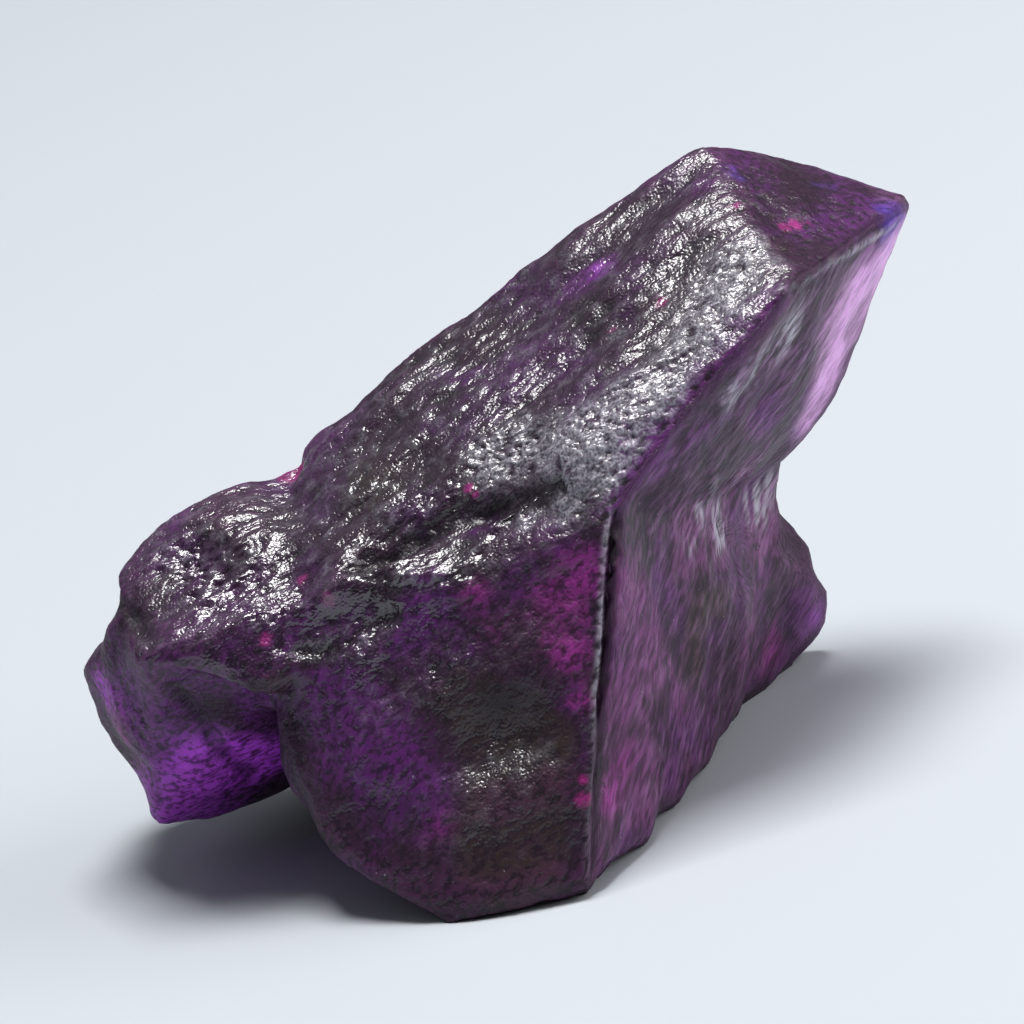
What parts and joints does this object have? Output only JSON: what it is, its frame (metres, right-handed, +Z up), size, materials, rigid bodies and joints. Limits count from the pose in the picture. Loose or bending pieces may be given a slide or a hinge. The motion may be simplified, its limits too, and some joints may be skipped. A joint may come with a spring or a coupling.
{
  "type": "rough sapphire",
  "caption": "Rough uncut sapphire of dark violet crystal: a slanting slab with a pitted, wet-looking top on a wedge-shaped foot, with a rounded shoulder, resting on its flat broken base.",
  "frame": {"origin": "on the resting plane, under the middle of the stone's bounding box", "axes": "+X along the stone's length, towards the raised end of the slab; +Z up; -Y is the front with the upright ridge"},
  "size_m": [0.0434, 0.028, 0.0282],
  "materials": {
    "crystal": "wet-looking rough crystal, dark violet, see-through only where it is thin"
  },
  "bodies": {
    "root": {"sapphire": "crystal"}
  },
  "joints": []
}
